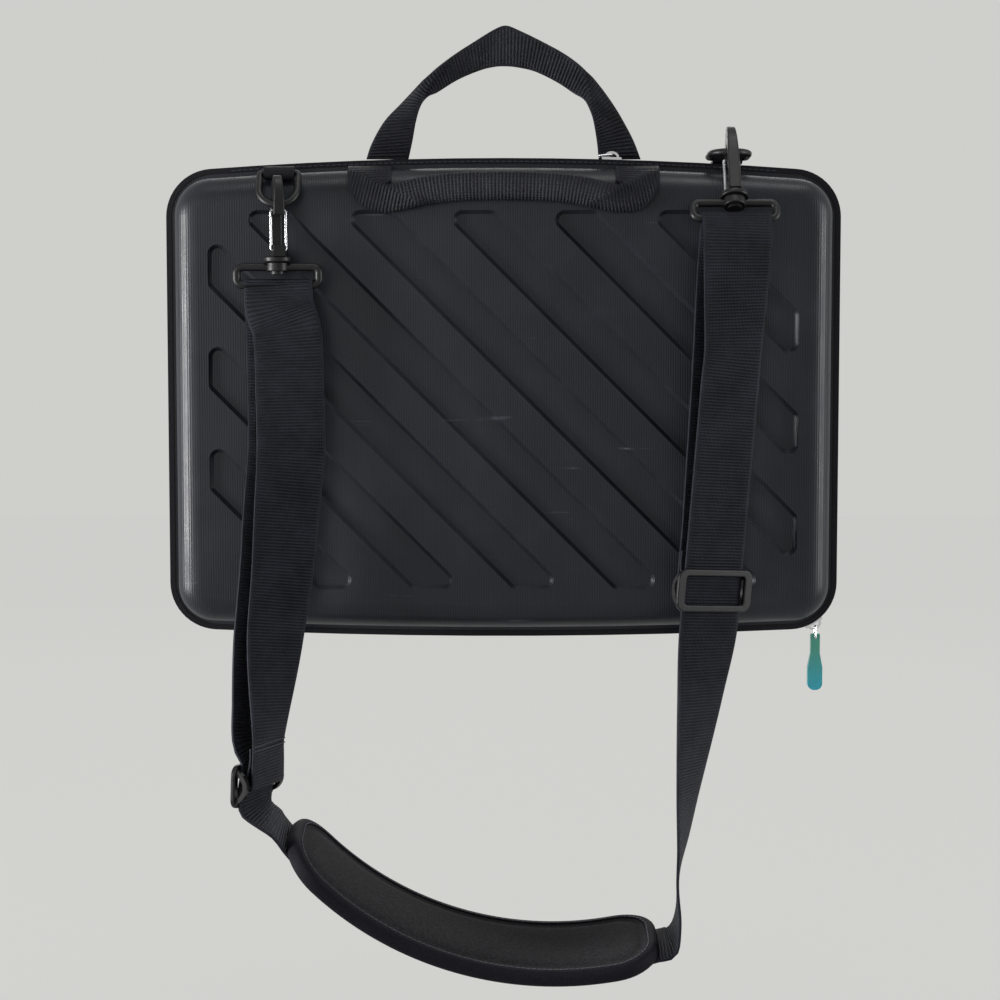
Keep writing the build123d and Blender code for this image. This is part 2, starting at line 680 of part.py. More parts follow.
def shifted(stations, side, back):
    """Stations moved along the webbing's width and out of its face (plus is away from the front)."""
    moved = []
    for point, width in stations:
        rear = Vector(0, 0, 1).cross(width)
        moved.append((point + width * side + rear * back, width))
    return moved


def bar_wrap(frame, drop):
    """Half turn of webbing over the bail's bar with its two short drops."""
    half = (Circle(STRAP_IN + STRAP_T) - Circle(STRAP_IN)) & (Pos(0, 10) * Rectangle(30, 20))
    legs = Pos(STRAP_MID, -drop / 2) * Rectangle(STRAP_T, drop)
    legs += Pos(-STRAP_MID, -drop / 2) * Rectangle(STRAP_T, drop)
    wrap = extrude(Plane.YZ * (half + legs), amount=STRAP_W / 2, both=True)
    return wrap.moved(frame * Location((0, 0, -BAIL_DROP)))


def down_of(frame):
    return (frame * Location((0, 0, -1))).position - frame.position


def bar_leg(frame, side, way):
    """Where a leg of the wrap ends: side -1 is the front leg, way 1 runs down and -1 up."""
    point = (frame * Location((0, side * STRAP_MID, -BAIL_DROP - WRAP_DROP - BUTT))).position
    return (point, Vector(1, 0, 0), down_of(frame) * way)


left_top = left_frame * Location((TOP_SHIFT, 0, 0))
right_top = Location(right_seat, (RIGHT_LEAN, 0, 0)) * Location((TOP_SHIFT, 0, -RING_SEAT))
save("left_wrap", bar_wrap(left_top, WRAP_DROP))
save("right_wrap", bar_wrap(right_top, WRAP_DROP))
left_start = bar_leg(left_top, 1, 1)
right_start = bar_leg(right_top, -1, -1)
left_front_leg = bar_leg(left_top, -1, 1)
left_run = [station(*p) for p in LEFT_ROUTE]
right_a = station(*RIGHT_RUN_TOP)
right_b = station(*RIGHT_RUN_END)
right_run = [station(*p) for p in RIGHT_ROUTE]
left_behind = shifted(left_run, LEFT_SHIFT, LAYER_BACK)
glide_run = Vector(*LEFT_GLIDE_RUN).normalized()
glide_at, glide_width = shifted([station(*LEFT_GLIDE)], LEFT_SHIFT / 2, LAYER_BACK)[0]


def pad_end(angle):
    """Butt end of the pad's webbing with the run of the pad there."""
    a = math.radians(angle)
    run = Vector(1, 0, 0) * math.cos(a) - PAD_DOWN * math.sin(a)
    return (pad_point(angle, PAD_R), PAD_ACROSS, run)


butt_angle = math.degrees(BUTT / PAD_R)
left_glide_pair = [(glide_at + glide_run * side * GLIDE_STRAIGHT, glide_width, glide_run)
                   for side in (-1, 1)]
left_line = [left_start] + left_behind + left_glide_pair + [pad_end(PAD_WEB_FROM - butt_angle)]
save("left_strap", ribbon(left_line))
right_glide_pair = [(*right_b, right_a[0] - right_b[0]), (*right_a, right_a[0] - right_b[0])]
right_line = [pad_end(PAD_WEB_TO + butt_angle)] + right_run[::-1] + right_glide_pair + [right_start]
save("right_strap", ribbon(right_line))


# ---------------------------------------------------------------- tri-glides
def glide_frame(point, width, run):
    """Frame with X along the webbing's width, -Z down its run and -Y out of its front face."""
    down = run.normalized()
    across = (width - down * down.dot(width)).normalized()
    return Plane(origin=point, x_dir=across, z_dir=down * -1).location


def tri_glide():
    """Moulded adjuster: a frame round the webbing's front, two cheeks and a round bar behind it."""
    open_half = STRAP_W / 2 + GLIDE_CLEAR
    outline = RectangleRounded(2 * (open_half + GLIDE_SIDE), GLIDE_H, GLIDE_CORNER)
    window = RectangleRounded(2 * open_half, GLIDE_H - 2 * GLIDE_BAR, GLIDE_CORNER / 3)
    plate = extrude(Plane.XZ * (outline - window), amount=GLIDE_BAR_T / 2, both=True)
    body = fillet(plate.edges(), GLIDE_EDGE).moved(Location((0, -GLIDE_FRONT, 0)))
    edge = GLIDE_H / 2 - GLIDE_BAR
    bow = ThreePointArc((-GLIDE_FRONT, edge), (LOOP_BACK, 0), (-GLIDE_FRONT, -edge))
    cheek = extrude(Plane.YZ * make_face(offset(bow, GLIDE_BAR_T / 2, kind=Kind.ARC)), amount=GLIDE_CHEEK)
    body += cheek.moved(Location((open_half, 0, 0)))
    body += cheek.moved(Location((-open_half - GLIDE_CHEEK, 0, 0)))
    middle = Cylinder(GLIDE_MID_R, 2 * open_half + GLIDE_CHEEK, rotation=(0, 90, 0))
    return body + middle.moved(Location((0, LOOP_BACK, 0)))


def sewn_end():
    """Webbing end turned round the glide's middle bar and sewn up against the rear layer."""
    turn = (Circle(END_IN + STRAP_T) - Circle(END_IN)) & (Pos(0, -10) * Rectangle(30, 20))
    rear = Pos(END_MID, SEWN_TAIL / 2) * Rectangle(STRAP_T, SEWN_TAIL)
    near = -END_IN - STRAP_T
    tail_x = END_MID - STRAP_T / 2
    lap = make_face(Polyline((near, 0), (near + STRAP_T, 0), (near + STRAP_T, 1.5), (tail_x, 10),
                             (tail_x, SEWN_TAIL - 4), (tail_x - STRAP_T, SEWN_TAIL - 4),
                             (tail_x - STRAP_T, 11), (near, 3), close=True))
    side = Plane.YZ * (Pos(LOOP_BACK, 0) * (turn + rear + lap))
    return extrude(side, amount=STRAP_W / 2, both=True)


def return_layer(start, stations, frame):
    """Layer from the bail down to the top of the sewn end."""
    last = (frame * Location((0, LAYER_BACK, SEWN_TAIL + BUTT))).position
    above = (frame * Location((0, LAYER_BACK, SEWN_TAIL + 6))).position
    across = Plane(frame).x_dir
    run = down_of(frame)
    return ribbon([start] + stations + [(above, across, run), (last, across, run)])


run_vector = right_b[0] - right_a[0]
right_at = right_a[0] + run_vector.normalized() * RIGHT_GLIDE_AT
right_glide_frame = glide_frame(right_at, right_a[1], run_vector)
left_glide_frame = glide_frame(glide_at, glide_width * -1, glide_run)
left_front = [(point, width * -1) for point, width in left_run[:-1]]
left_lead = (left_front_leg[0], left_front_leg[1] * -1, left_front_leg[2])
for name, start, frame, stations in (
        ("left", left_lead, left_glide_frame, left_front),
        ("right", bar_leg(right_top, 1, 1), right_glide_frame, shifted([right_a], RIGHT_SHIFT, LAYER_BACK))):
    save(f"{name}_triglide", tri_glide().moved(frame))
    save(f"{name}_strap_end", sewn_end().moved(frame))
    save(f"{name}_strap_return", return_layer(start, stations, frame))


# ---------------------------------------------------------------- shoulder pad
PAD_FRAME = Plane(origin=PAD_CENTRE, x_dir=(1, 0, 0), z_dir=PAD_ACROSS * -1)
PAD_OUT = PAD_R - STRAP_T / 2 - 0.06
PAD_IN = PAD_OUT - PAD_T


def pad_sector(near, far, start, end, width):
    """Curved slab about the pad's centre, in the pad's own frame."""
    outer = CenterArc((0, 0), far, 270 + start, end - start)
    inner = CenterArc((0, 0), near, 270 + start, end - start)
    edges = [outer, inner, Line(outer @ 0, inner @ 0), Line(outer @ 1, inner @ 1)]
    return extrude(make_face(edges), amount=width / 2, both=True)


def pad_slab(near, far, grow):
    """Pad outline with round corners, grown by a margin on every edge."""
    margin = math.degrees(grow / PAD_R)
    start = PAD_FROM - margin
    end = PAD_TO + margin
    width = PAD_W + 2 * grow
    blank = pad_sector(PAD_IN - PAD_T, PAD_OUT + PAD_T, start, end, width)
    corners = [e for e in blank.edges() if abs(e.length - 3 * PAD_T) < 0.01]
    blank = fillet(corners, PAD_END_R + grow)
    return blank & pad_sector(near, far, start - 1, end + 1, width + 4)


def placed(shape):
    return shape.moved(PAD_FRAME.location)


webbing = pad_sector(PAD_R - STRAP_T / 2, PAD_R + STRAP_T / 2, PAD_WEB_FROM, PAD_WEB_TO, STRAP_W)
save("pad_webbing", placed(webbing))
core = pad_slab(PAD_IN + PAD_COVER_T, PAD_OUT - PAD_COVER_T, -PAD_EDGE_T)
save("pad_core", placed(core))
save("pad_felt", placed(pad_slab(PAD_IN, PAD_IN + PAD_COVER_T, -PAD_EDGE_T)))
save("pad_base", placed(pad_slab(PAD_OUT - PAD_COVER_T, PAD_OUT, -PAD_EDGE_T)))
band = pad_slab(PAD_IN - PAD_BINDING_T, PAD_OUT, 0)
band -= pad_slab(PAD_IN, PAD_OUT + 1, -PAD_EDGE_T)
band -= pad_slab(PAD_IN - 2 * PAD_BINDING_T, PAD_OUT + 1, -PAD_BINDING_W)
save("pad_binding", placed(band))


def keeper(angle):
    """Band over the strap on the pad's outer side, its two ends sewn to the pad."""
    span = math.degrees(KEEPER_L / 2 / PAD_R)
    inner = PAD_R + STRAP_T / 2 + 0.06
    half = STRAP_W / 2 + 0.8
    over = pad_sector(PAD_OUT, inner + KEEPER_T, angle - span, angle + span, KEEPER_W)
    return over - pad_sector(PAD_OUT - 1, inner, angle - 2 * span, angle + 2 * span, 2 * half)


inset = math.degrees((KEEPER_INSET + KEEPER_L / 2) / PAD_R)
save("left_keeper", placed(keeper(PAD_FROM + inset)))
save("right_keeper", placed(keeper(PAD_TO - inset)))


# ---------------------------------------------------------------- inside fittings
ROOM_INSET = INNER_INSET + LINING_T + 0.05
STRIP_NEAR = ZIP_HALF + SEAM_INSET


def corner_elastic(side, level):
    """Elastic across a corner of the rear half, its ends sewn to the side walls."""
    corner_x = side * (CASE_W / 2 - ROOM_INSET)
    corner_z = (CASE_TOP - ROOM_INSET) if level > 0 else (CASE_BOTTOM + ROOM_INSET)
    reach_ = ELASTIC_REACH * math.sqrt(0.5)
    strip = Box(4 * ELASTIC_REACH, ELASTIC_T, ELASTIC_W)
    strip = strip.rotate(Axis.Y, side * level * 45)
    strip = strip.moved(Location((corner_x - side * reach_ / 2, 0, corner_z - level * reach_ / 2)))
    strip = strip.moved(Location((0, STRIP_NEAR + ELASTIC_T / 2, 0)))
    return strip & to_rear(slab(ROOM_INSET, STRIP_NEAR - 1, STRIP_NEAR + ELASTIC_T + 1))


for name, side, level in (("top_left", -1, 1), ("top_right", 1, 1), ("bottom_left", -1, -1),
                          ("bottom_right", 1, -1)):
    save(f"elastic_{name}", corner_elastic(side, level))

pocket_far = INNER_FACE_AT - LINING_T - POCKET_LIFT
pocket_inset = ROOM_INSET + POCKET_LIFT
mesh = slab(pocket_inset, pocket_far - POCKET_T, pocket_far)
mesh_top = CASE_BOTTOM + pocket_inset + POCKET_H
below = Box(500, 100, 200, align=(Align.CENTER, Align.CENTER, Align.MAX))
mesh = mesh & below.moved(Location((0, 0, mesh_top)))
save("lid_pocket", mesh)
hem_z = mesh_top + BUTT
hem = slab(pocket_inset, pocket_far - HEM_T, pocket_far)
hem_box = Box(500, 100, HEM_W, align=(Align.CENTER, Align.CENTER, Align.MIN))
save("pocket_hem", hem & hem_box.moved(Location((0, 0, hem_z))))
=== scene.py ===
import math

import bmesh
import bpy
from mathutils import Matrix, Vector


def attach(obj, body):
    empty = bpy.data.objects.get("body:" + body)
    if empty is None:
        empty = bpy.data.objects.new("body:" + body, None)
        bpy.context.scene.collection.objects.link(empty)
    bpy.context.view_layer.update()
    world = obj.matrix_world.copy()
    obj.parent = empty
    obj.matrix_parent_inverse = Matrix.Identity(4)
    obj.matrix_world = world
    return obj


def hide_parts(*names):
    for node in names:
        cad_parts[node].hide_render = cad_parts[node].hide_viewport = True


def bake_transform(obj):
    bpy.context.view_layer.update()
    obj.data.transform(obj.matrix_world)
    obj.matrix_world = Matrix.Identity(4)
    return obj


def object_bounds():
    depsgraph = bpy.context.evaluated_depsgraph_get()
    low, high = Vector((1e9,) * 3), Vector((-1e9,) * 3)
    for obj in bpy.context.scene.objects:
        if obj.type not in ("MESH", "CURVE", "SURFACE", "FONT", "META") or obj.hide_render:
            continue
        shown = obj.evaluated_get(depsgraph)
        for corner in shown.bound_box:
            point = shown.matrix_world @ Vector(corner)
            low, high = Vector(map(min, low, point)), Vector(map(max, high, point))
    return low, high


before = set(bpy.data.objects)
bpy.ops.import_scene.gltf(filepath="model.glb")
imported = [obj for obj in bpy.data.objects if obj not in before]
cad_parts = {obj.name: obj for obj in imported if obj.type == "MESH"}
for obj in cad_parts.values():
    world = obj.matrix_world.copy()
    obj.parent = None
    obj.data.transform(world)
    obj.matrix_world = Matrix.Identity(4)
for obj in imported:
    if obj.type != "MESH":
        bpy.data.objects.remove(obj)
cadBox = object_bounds()
mm = 0.001
up = Vector((0, 0, 1))
right = Vector((1, 0, 0))


def linear(hexCode):
    channels = [int(hexCode[i:i + 2], 16) / 255 for i in (1, 3, 5)]
    return [c / 12.92 if c <= 0.04045 else ((c + 0.055) / 1.055) ** 2.4 for c in channels] + [1.0]


def addNode(tree, kind, settings=None, links=None):
    node = tree.nodes.new(kind)
    for key, value in (settings or {}).items():
        if isinstance(key, int) or key in node.inputs:
            node.inputs[key].default_value = value
        else:
            setattr(node, key, value)
    for key, source in (links or {}).items():
        tree.links.new(source, node.inputs[key])
    return node


# a material whose even numbers sit on the shader's own sockets
def newMaterial(name, baseColor, roughness, **sockets):
    material = bpy.data.materials.new(name)
    material.use_nodes = True
    tree = material.node_tree
    shader = tree.nodes["Principled BSDF"]
    shader.inputs["Base Color"].default_value = linear(baseColor)
    shader.inputs["Roughness"].default_value = roughness
    for key, value in sockets.items():
        shader.inputs[key.replace("_", " ")].default_value = value
    return material, tree, shader


# polyester cloth laminated over moulded foam: a satin skin with fine upright cords whose crests are painted lighter as
# a painted highlight, faint scuffs and a few thin scratches; sizes in mm, the cords a little wider apart than real ones
# so that they show
shellCloth = {"cordPitch": 1.35, "gritSize": 1.4, "scuffSize": 30, "patchSize": 19, "base": "#121419",
              "scuffed": "#1d1f26", "ridge": "#30333c", "ridgeShare": 0.34, "scratch": "#3a3c43", "rough": 0.36,
              "bump": 0.42, "depth": 0.12}


def makeShellCloth():
    look = shellCloth
    material, tree, shader = newMaterial("laminatedPolyester", look["base"], look["rough"], Specular_IOR_Level=0.28)
    place = addNode(tree, "ShaderNodeTexCoord").outputs["Object"]
    cords = addNode(tree, "ShaderNodeTexWave",
                    {"wave_type": "BANDS", "bands_direction": "X", "Scale": math.pi / 10 / (look["cordPitch"] * mm),
                     "Distortion": 0.25, "Detail": 1.0}, {"Vector": place})
    cloud = addNode(tree, "ShaderNodeTexNoise",
                    {"Scale": 1 / (look["scuffSize"] * mm), "Detail": 6.0, "Roughness": 0.62}, {"Vector": place})
    grit = addNode(tree, "ShaderNodeTexNoise", {"Scale": 1 / (look["gritSize"] * mm), "Detail": 2.0},
                   {"Vector": place})
    scuff = addNode(tree, "ShaderNodeMapRange", {"From Min": 0.46, "From Max": 0.80}, {"Value": cloud.outputs["Fac"]})
    skin = addNode(tree, "ShaderNodeMix", {"data_type": "RGBA", 6: linear(look["base"]), 7: linear(look["scuffed"])},
                   {"Factor": scuff.outputs["Result"]})
    # painted highlight: the cord crests are mixed towards the lighter ridge colour, as if they catch the light
    ridges = addNode(tree, "ShaderNodeMath", {"operation": "MULTIPLY", 1: look["ridgeShare"]},
                     {0: cords.outputs["Fac"]})
    corded = addNode(tree, "ShaderNodeMix", {"data_type": "RGBA", 7: linear(look["ridge"])},
                     {"Factor": ridges.outputs[0], 6: skin.outputs[2]})
    # scratches: stretched noise, let through only in patches
    slant = addNode(tree, "ShaderNodeMapping", {"Rotation": (0, -0.5, 0), "Scale": (14, 14, 420)}, {"Vector": place})
    streak = addNode(tree, "ShaderNodeTexNoise", {"Scale": 1.0, "Detail": 1.0}, {"Vector": slant.outputs[0]})
    patch = addNode(tree, "ShaderNodeTexNoise", {"Scale": 1 / (look["patchSize"] * mm), "Detail": 2.0},
                    {"Vector": place})
    thin = addNode(tree, "ShaderNodeMapRange", {"From Min": 0.725, "From Max": 0.75}, {"Value": streak.outputs["Fac"]})
    local = addNode(tree, "ShaderNodeMapRange", {"From Min": 0.55, "From Max": 0.68}, {"Value": patch.outputs["Fac"]})
    scratch = addNode(tree, "ShaderNodeMath", {"operation": "MULTIPLY"},
                      {0: thin.outputs["Result"], 1: local.outputs["Result"]})
    marked = addNode(tree, "ShaderNodeMix", {"data_type": "RGBA", 7: linear(look["scratch"])},
                     {"Factor": scratch.outputs[0], 6: corded.outputs[2]})
    tree.links.new(marked.outputs[2], shader.inputs["Base Color"])
    rough = addNode(tree, "ShaderNodeMapRange",
                    {"From Min": 0.3, "From Max": 0.75, "To Min": look["rough"] - 0.05, "To Max": look["rough"] + 0.12},
                    {"Value": cloud.outputs["Fac"]})
    tree.links.new(rough.outputs["Result"], shader.inputs["Roughness"])
    height = addNode(tree, "ShaderNodeMath", {"operation": "MULTIPLY_ADD", 1: 0.35},
                     {0: grit.outputs["Fac"], 2: cords.outputs["Fac"]})
    bump = addNode(tree, "ShaderNodeBump", {"Strength": look["bump"], "Distance": look["depth"] * mm},
                   {"Height": height.outputs[0]})
    tree.links.new(bump.outputs["Normal"], shader.inputs["Normal"])
    return material


# nylon webbing: matt, with cross ribs whose crests are painted lighter as a painted highlight, and a flat selvedge;
# sizes in mm, the ribs a little wider apart than real ones so that they show
strapLook = {"width": 38, "ribPitch": 1.7, "yarnPitch": 0.9, "base": "#050507", "ridge": "#2f313b", "depth": 0.32}
handleLook = {"width": 24, "ribPitch": 1.95, "yarnPitch": 1.0, "base": "#050506", "ridge": "#303139", "depth": 0.40}


def makeWebbing(name, look):
    material, tree, shader = newMaterial(name, look["base"], 0.6, Specular_IOR_Level=0.12)
    weave = addNode(tree, "ShaderNodeUVMap", {"uv_map": "weave"}).outputs["UV"]
    parts = addNode(tree, "ShaderNodeSeparateXYZ", {}, {"Vector": weave})
    waves = []
    for axis, pitch in (("Y", look["ribPitch"]), ("X", look["yarnPitch"])):
        turn = addNode(tree, "ShaderNodeMath", {"operation": "MULTIPLY", 1: 2 * math.pi / pitch},
                       {0: parts.outputs[axis]})
        waves.append(addNode(tree, "ShaderNodeMath", {"operation": "SINE"}, {0: turn.outputs[0]}).outputs[0])
    crossed = addNode(tree, "ShaderNodeMath", {"operation": "MULTIPLY_ADD", 1: 0.3}, {0: waves[1], 2: waves[0]})
    edge = addNode(tree, "ShaderNodeMath", {"operation": "ABSOLUTE"}, {0: parts.outputs["X"]})
    selvedge = addNode(tree, "ShaderNodeMapRange",
                       {"From Min": look["width"] / 2 - 1.2, "From Max": look["width"] / 2 - 2.2},
                       {"Value": edge.outputs[0]})
    height = addNode(tree, "ShaderNodeMath", {"operation": "MULTIPLY"},
                     {0: crossed.outputs[0], 1: selvedge.outputs["Result"]})
    # painted highlight: the rib crests get the lighter ridge colour as if lit, mixed with a random patchy tone that is
    # the webbing's own
    patchy = addNode(tree, "ShaderNodeTexNoise", {"Scale": 0.05, "Detail": 5.0, "Roughness": 0.7}, {"Vector": weave})
    shade = addNode(tree, "ShaderNodeMath", {"operation": "MULTIPLY_ADD", 1: 0.26},
                    {0: height.outputs[0], 2: patchy.outputs["Fac"]})
    lit = addNode(tree, "ShaderNodeMapRange", {"From Min": 0.12, "From Max": 1.0}, {"Value": shade.outputs[0]})
    color = addNode(tree, "ShaderNodeMix", {"data_type": "RGBA", 6: linear(look["base"]), 7: linear(look["ridge"])},
                    {"Factor": lit.outputs["Result"]})
    tree.links.new(color.outputs[2], shader.inputs["Base Color"])
    bump = addNode(tree, "ShaderNodeBump", {"Strength": 0.9, "Distance": look["depth"] * mm},
                   {"Height": height.outputs[0]})
    tree.links.new(bump.outputs["Normal"], shader.inputs["Normal"])
    return material


# cloths read in object space: two yarn colours, roughness, thread size and relief in mm, sheen
clothLooks = {
    # knitted nylon brushed to a nap: dull and even
    "brushedTricot": ("#232428", "#303136", 0.85, 0.8, 0.10, 0.04),
    # tight polyester tape: a faint satin line where it turns
    "wovenBinding": ("#0e0e11", "#1c1c21", 0.46, 1.1, 0.08, 0.0),
    # flat woven tape beside the zip: matt and very fine
    "zipTape": ("#0d0d0f", "#17171a", 0.7, 0.7, 0.06, 0.04),
    # pressed felt on the side of the pad that lies on the shoulder: grainy, no shine
    "gripFelt": ("#0e0e0f", "#2e2e31", 0.95, 1.5, 0.40, 0.05),
    # nylon tape rolled round the pad's edge: bluer and smoother than the felt
    "padBindingTape": ("#07070b", "#16161f", 0.7, 1.0, 0.16, 0.0),
    # covered rubber woven flat: matt with a close grain
    "wovenElastic": ("#101012", "#1d1d20", 0.7, 0.9, 0.12, 0.04),
    # open warp knit: coarse and a little lighter
    "knittedMesh": ("#1c1c20", "#2a2a30", 0.75, 2.2, 0.2, 0.04),
    # bonded sewing thread: lighter than the cloth, so that the stitch line shows
    "bondedThread": ("#34353c", "#4a4b54", 0.5, 0.5, 0.05, 0.04),
}


def makeCloth(name, base, ridge, rough, thread, depth, sheen):
    material, tree, shader = newMaterial(name, base, rough, Sheen_Weight=sheen, Sheen_Roughness=0.5,
                                         Specular_IOR_Level=0.12)
    place = addNode(tree, "ShaderNodeTexCoord").outputs["Object"]
    fibre = addNode(tree, "ShaderNodeTexNoise", {"Scale": 1 / (thread * mm), "Detail": 5.0, "Roughness": 0.7},
                    {"Vector": place})
    lit = addNode(tree, "ShaderNodeMapRange", {"From Min": 0.35, "From Max": 0.7}, {"Value": fibre.outputs["Fac"]})
    color = addNode(tree, "ShaderNodeMix", {"data_type": "RGBA", 6: linear(base), 7: linear(ridge)},
                    {"Factor": lit.outputs["Result"]})
    tree.links.new(color.outputs[2], shader.inputs["Base Color"])
    bump = addNode(tree, "ShaderNodeBump", {"Strength": 0.5, "Distance": depth * mm}, {"Height": fibre.outputs["Fac"]})
    tree.links.new(bump.outputs["Normal"], shader.inputs["Normal"])
    return material


# hard pieces: colour, roughness, metallic, spread of the handling marks
hardLooks = {
    # extruded nylon wound to a coil: black with a soft gleam
    "nylonCoil": ("#0c0c0e", 0.42, 0.0, 0.08),
    # moulded acetal: black, satin, slightly rubbed
    "blackAcetal": ("#0b0b0d", 0.40, 0.0, 0.08),
    # nickel plated spring wire: bright grey with a sharp highlight
    "nickelWire": ("#b4b5b8", 0.2, 1.0, 0.08),
    # chromed die cast zinc: nearly a mirror
    "chromedZinc": ("#d5d6d8", 0.12, 1.0, 0.05),
}


def makeHard(name, base, rough, metallic, marks):
    material, tree, shader = newMaterial(name, base, rough, Metallic=metallic, Specular_IOR_Level=0.3)
    place = addNode(tree, "ShaderNodeTexCoord").outputs["Object"]
    worn = addNode(tree, "ShaderNodeTexNoise", {"Scale": 1 / (3.5 * mm), "Detail": 4.0}, {"Vector": place})
    spread = addNode(tree, "ShaderNodeMapRange",
                     {"From Min": 0.3, "From Max": 0.7, "To Min": rough - marks / 2, "To Max": rough + marks},
                     {"Value": worn.outputs["Fac"]})
    tree.links.new(spread.outputs["Result"], shader.inputs["Roughness"])
    bump = addNode(tree, "ShaderNodeBump", {"Strength": 0.08, "Distance": 0.06 * mm}, {"Height": worn.outputs["Fac"]})
    tree.links.new(bump.outputs["Normal"], shader.inputs["Normal"])
    return material


# soft silicone pull: greener at the neck, bluer at the foot, slightly see-through; heights in metres
silicone = {"base": "#2f8f8c", "foot": "#2593a3", "neck": "#3c8573", "footZ": -0.352, "neckZ": -0.330}


def makePull():
    look = silicone
    material, tree, shader = newMaterial("siliconePull", look["base"], 0.34, Coat_Weight=0.25, Subsurface_Weight=0.25,
                                         Subsurface_Scale=1.5 * mm)
    place = addNode(tree, "ShaderNodeTexCoord").outputs["Object"]
    parts = addNode(tree, "ShaderNodeSeparateXYZ", {}, {"Vector": place})
    fade = addNode(tree, "ShaderNodeMapRange", {"From Min": look["footZ"], "From Max": look["neckZ"]},
                   {"Value": parts.outputs["Z"]})
    color = addNode(tree, "ShaderNodeMix", {"data_type": "RGBA", 6: linear(look["foot"]), 7: linear(look["neck"])},
                    {"Factor": fade.outputs["Result"]})
    tree.links.new(color.outputs[2], shader.inputs["Base Color"])
    return material


finishes = {"laminatedPolyester": makeShellCloth(), "siliconePull": makePull()}
finishes["strapWebbing"] = makeWebbing("nylonWebbing38", strapLook)
finishes["handleWebbing"] = makeWebbing("nylonWebbing25", handleLook)
for name, look in clothLooks.items():
    finishes[name] = makeCloth(name, *look)
for name, look in hardLooks.items():
    finishes[name] = makeHard(name, *look)
print("materials made")

# what each carried-over node is made of; the rest, all tape tabs and feet, are woven binding
nodeFinishes = {
    "laminatedPolyester": ("front_shell", "rear_shell"),
    "brushedTricot": ("front_lining", "rear_lining"),
    "zipTape": ("front_zip_tape", "rear_zip_tape"),
    "nylonCoil": ("front_zip_coil", "rear_zip_coil"),
    "chromedZinc": ("top_slider", "corner_slider", "top_link", "corner_link"),
    "siliconePull": ("corner_pull",),
    "blackAcetal": ("left_ring", "right_ring", "left_hook", "right_hook", "left_bail", "right_bail",
                    "left_triglide", "right_triglide"),
    "nickelWire": ("left_gate", "right_gate"),
    "knittedMesh": ("lid_pocket",),
    "wovenElastic": ("pocket_hem", "elastic_top_left", "elastic_top_right", "elastic_bottom_left",
                     "elastic_bottom_right"),
}
finishOf = {nodeName: finish for finish, names in nodeFinishes.items() for nodeName in names}
for nodeName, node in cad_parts.items():
    node.data.materials.clear()
    node.data.materials.append(finishes[finishOf.get(nodeName, "wovenBinding")])


# the modifiers that give flat cloth its thickness and soft edges, in mm
def clothEdges(thickness, rounding, offset=0.0):
    return (("SOLIDIFY", {"thickness": thickness * mm, "offset": offset}),
            ("BEVEL", {"width": rounding * mm, "segments": 2, "limit_method": "ANGLE",
                       "angle_limit": math.radians(50)}))


# a bmesh becomes a finished object: modifiers applied, faces outwards, hard edges marked
def finishPiece(name, mesh, finish, body="", replaced=(), smoothAngle=40, modifiers=()):
    data = bpy.data.meshes.new(name)
    mesh.to_mesh(data)
    mesh.free()
    piece = bpy.data.objects.new(name, data)
    bpy.context.scene.collection.objects.link(piece)
    for kind, settings in modifiers:
        modifier = piece.modifiers.new(kind.title(), kind)
        for key, value in settings.items():
            setattr(modifier, key, value)
    if modifiers:
        bpy.context.view_layer.update()
        evaluated = piece.evaluated_get(bpy.context.evaluated_depsgraph_get())
        data = bpy.data.meshes.new_from_object(evaluated)
        piece.modifiers.clear()
        piece.data = data
        data.name = name
    final = bmesh.new()
    final.from_mesh(data)
    bmesh.ops.recalc_face_normals(final, faces=final.faces)
    limit = math.radians(smoothAngle)
    for face in final.faces:
        face.smooth = True
    for edge in final.edges:
        edge.smooth = len(edge.link_faces) == 2 and edge.calc_face_angle(0.0) < limit
    final.to_mesh(data)
    final.free()
    data.materials.clear()
    data.materials.append(finish)
    if body:
        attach(piece, body)
    if replaced:
        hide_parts(*replaced)
    return piece


# writes the weave's own map, across and along the webbing in mm
def layWeave(mesh, weave, where):
    for face in mesh.faces:
        for loop in face.loops:
            loop[weave].uv = where[loop.vert]


# distances of points along the line through them
def measure(points):
    marks = [0.0]
    for a, b in zip(points, points[1:]):
        marks.append(marks[-1] + (b - a).length)
    return marks


# smooth value through the given ones, at a distance along their marks
def smoothAt(values, marks, here):
    i = 0
    while i < len(marks) - 2 and here > marks[i + 1]:
        i += 1
    span = marks[i + 1] - marks[i]
    t = min(max((here - marks[i]) / span, 0), 1)

    def slope(k):
        a = max(k - 1, 0)
        b = min(k + 1, len(marks) - 1)
        return (values[b] - values[a]) / (marks[b] - marks[a])
    start = 2 * t ** 3 - 3 * t ** 2 + 1
    startSlope = t ** 3 - 2 * t ** 2 + t
    end = -2 * t ** 3 + 3 * t ** 2
    endSlope = t ** 3 - t ** 2
    return values[i] * start + slope(i) * (startSlope * span) + values[i + 1] * end + slope(i + 1) * (endSlope * span)


# stations are (point, width direction) in mm; gives place and width direction at a share of the length
def makeRoute(stations):
    points = [Vector(p) for p, w in stations]
    widths = [Vector(w).normalized() for p, w in stations]
    marks = measure(points)
    length = marks[-1]
    step = 0.4

    def at(share):
        here = share * length
        ahead = smoothAt(points, marks, min(here + step, length))
        behind = smoothAt(points, marks, max(here - step, 0))
        run = (ahead - behind).normalized()
        width = smoothAt(widths, marks, here)
        return smoothAt(points, marks, here), (width - run * run.dot(width)).normalized()
    return at, length


